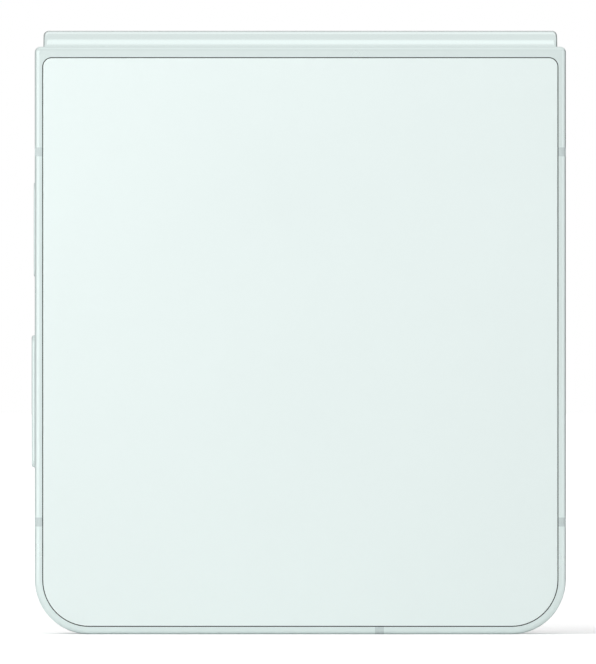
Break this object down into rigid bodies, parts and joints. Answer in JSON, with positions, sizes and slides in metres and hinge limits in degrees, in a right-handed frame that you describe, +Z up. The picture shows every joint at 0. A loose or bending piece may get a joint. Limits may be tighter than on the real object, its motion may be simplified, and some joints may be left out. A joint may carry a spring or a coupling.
{
  "type": "flip phone",
  "caption": "Clamshell folding phone, shown closed and standing on its foot edge, with a geared two-axis hinge spine, plain glass back, cover screen behind and folding inner screen.",
  "frame": {"origin": "middle of the foot edge of the closed phone, in the closing plane between its two halves, on the surface it stands on", "axes": "+X across the phone to the right as its plain back is looked at, +Y from the plain back to the cover screen, +Z up from the foot edge to the hinge spine"},
  "size_m": [0.0758, 0.0146, 0.0855],
  "materials": {
    "mint_aluminium": "satin",
    "polished_hinge": "polished",
    "antenna_plastic": "matte",
    "back_glass": "satin",
    "cover_glass": "polished",
    "display_black": "gloss",
    "inner_display": "gloss",
    "black_bezel": "matte",
    "spring_steel": "brushed",
    "hinge_steel": "sintered",
    "camera_ring_metal": "polished",
    "lens_glass": "polished",
    "black_plastic": "matte",
    "led_yellow": "gloss",
    "circuit_board": "gloss",
    "battery_foil": "matte",
    "copper_coil": "lacquered",
    "ferrite": "matte",
    "gold_contacts": "polished"
  },
  "bodies": {
    "cover_half": {"cover_frame": "mint_aluminium", "cover_antenna_bands": "antenna_plastic", "cover_glass": "cover_glass", "cover_display": "display_black", "camera_rings": "camera_ring_metal", "camera_lens_glasses": "lens_glass", "flash_window": "lens_glass", "camera_modules": "black_plastic", "flash_led": "led_yellow", "logic_board": "circuit_board", "board_shields": "spring_steel", "cover_battery": "battery_foil", "earpiece_speaker": "black_plastic", "selfie_camera": "black_plastic", "top_microphone": "spring_steel", "key_switches": "spring_steel", "sim_socket": "spring_steel", "inner_screen_cover": "inner_display", "cover_screen_backing": "spring_steel", "cover_bezel": "black_bezel", "cover_hinge_arm_left": "hinge_steel", "cover_hinge_arm_right": "hinge_steel", "cover_hinge_screws": "hinge_steel"},
    "hinge_spine": {"spine_cover": "polished_hinge", "hinge_bracket_left": "hinge_steel", "hinge_bracket_right": "hinge_steel", "friction_clips": "spring_steel", "inner_screen_fold": "inner_display"},
    "main_half": {"main_frame": "mint_aluminium", "main_antenna_bands": "antenna_plastic", "main_back_glass": "back_glass", "main_battery": "battery_foil", "charging_board": "circuit_board", "usb_port_shell": "spring_steel", "usb_port_tongue": "black_plastic", "usb_contacts": "gold_contacts", "loudspeaker": "black_plastic", "speaker_mesh": "spring_steel", "foot_microphone": "spring_steel", "vibration_motor": "black_plastic", "coil_shield": "ferrite", "charging_coil": "copper_coil", "main_board_cover": "black_plastic", "inner_screen_main": "inner_display", "main_screen_backing": "spring_steel", "main_bezel": "black_bezel", "main_hinge_arm_left": "hinge_steel", "main_hinge_arm_right": "hinge_steel", "main_hinge_screws": "hinge_steel"},
    "cover_shafts": {"cover_gear_shafts": "hinge_steel"},
    "cover_idlers": {"cover_idler_gears": "hinge_steel"},
    "main_idlers": {"main_idler_gears": "hinge_steel"},
    "main_shafts": {"main_gear_shafts": "hinge_steel"},
    "cover_wing": {"cover_wing_plate": "spring_steel"},
    "main_wing": {"main_wing_plate": "spring_steel"},
    "side_key": {"side_key": "mint_aluminium", "fingerprint_sensor": "black_plastic"},
    "volume_key": {"volume_key": "mint_aluminium"},
    "sim_tray": {"sim_tray": "mint_aluminium"}
  },
  "joints": [
    {"name": "spine_swing", "type": "hinge", "parent": "cover_half", "child": "hinge_spine", "pos_m": [0, 0.0018, 0.08155], "axis": [-1, 0, 0], "range_deg": [0, 90], "deforming": ["inner_screen_fold"]},
    {"name": "main_swing", "type": "hinge", "parent": "hinge_spine", "child": "main_half", "pos_m": [0, -0.0018, 0.08155], "axis": [-1, 0, 0], "range_deg": [0, 90], "deforming": ["inner_screen_fold"]},
    {"name": "cover_shaft_spin", "type": "hinge", "parent": "hinge_spine", "child": "cover_shafts", "pos_m": [0, 0.00259, 0.08382], "axis": [1, 0, 0], "range_deg": [-181, 1]},
    {"name": "cover_idler_spin", "type": "hinge", "parent": "hinge_spine", "child": "cover_idlers", "pos_m": [0, 0.0009, 0.08363], "axis": [1, 0, 0], "range_deg": [-1, 161]},
    {"name": "main_idler_spin", "type": "hinge", "parent": "hinge_spine", "child": "main_idlers", "pos_m": [0, -0.0009, 0.08363], "axis": [1, 0, 0], "range_deg": [-161, 1]},
    {"name": "main_shaft_spin", "type": "hinge", "parent": "hinge_spine", "child": "main_shafts", "pos_m": [0, -0.00259, 0.08382], "axis": [1, 0, 0], "range_deg": [-1, 181]},
    {"name": "cover_wing_tilt", "type": "hinge", "parent": "cover_half", "child": "cover_wing", "pos_m": [0, 0.00105, 0.0725], "axis": [1, 0, 0], "range_deg": [0, 8]},
    {"name": "main_wing_tilt", "type": "hinge", "parent": "main_half", "child": "main_wing", "pos_m": [0, -0.00105, 0.0725], "axis": [-1, 0, 0], "range_deg": [0, 8]},
    {"name": "side_key_press", "type": "slide", "parent": "cover_half", "child": "side_key", "axis": [1, 0, 0], "range_m": [0, 0.00025], "stiffness_N_per_m": 4000, "springref_m": -0.0001},
    {"name": "volume_key_rock", "type": "hinge", "parent": "cover_half", "child": "volume_key", "pos_m": [-0.0345, 0.0036, 0.03295], "axis": [0, 1, 0], "range_deg": [-1.2, 1.2], "stiffness_Nm_per_rad": 0.3},
    {"name": "sim_tray_pull", "type": "slide", "parent": "cover_half", "child": "sim_tray", "axis": [1, 0, 0], "range_m": [0, 0.016]}
  ],
  "couplings": [
    {"joint": "main_swing", "follows": "spine_swing", "ratio": 1},
    {"joint": "cover_shaft_spin", "follows": "spine_swing", "ratio": -2},
    {"joint": "cover_idler_spin", "follows": "spine_swing", "ratio": 1.7778},
    {"joint": "main_idler_spin", "follows": "spine_swing", "ratio": -1.7778},
    {"joint": "main_shaft_spin", "follows": "spine_swing", "ratio": 2},
    {"joint": "cover_wing_tilt", "follows": "spine_swing", "ratio": 0.088889},
    {"joint": "main_wing_tilt", "follows": "spine_swing", "ratio": 0.088889}
  ]
}
